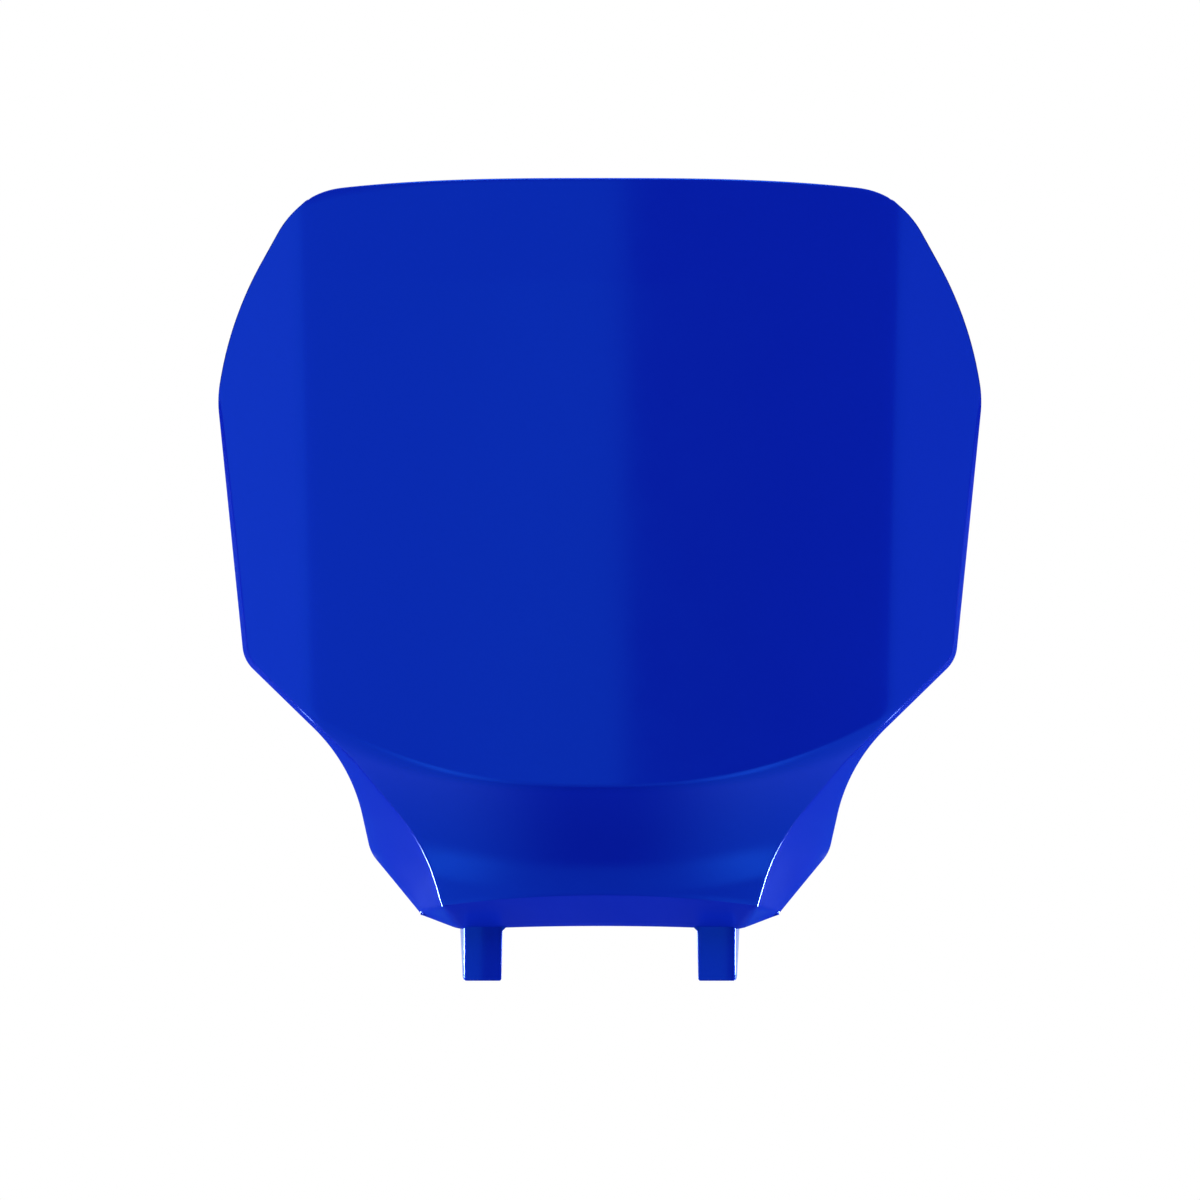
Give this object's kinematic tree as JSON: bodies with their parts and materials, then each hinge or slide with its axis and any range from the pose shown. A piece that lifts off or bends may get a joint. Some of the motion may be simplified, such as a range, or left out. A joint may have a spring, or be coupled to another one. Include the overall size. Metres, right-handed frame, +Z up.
{
  "type": "racing number board",
  "caption": "Front number board of an off-road racing motorbike: a bent plastic shield with a hollow chin, two lower pegs and a bolt lug behind.",
  "frame": {"origin": "centre of the bolt hole in the lug behind the board, half way through the lug", "axes": "+Z up along the bolt, +X to the right of someone who faces the board, the front faces -Y"},
  "size_m": [0.2398, 0.0521, 0.2519],
  "materials": {
    "blue_plastic": "gloss"
  },
  "bodies": {
    "root": {"number_board": "blue_plastic"}
  },
  "joints": []
}
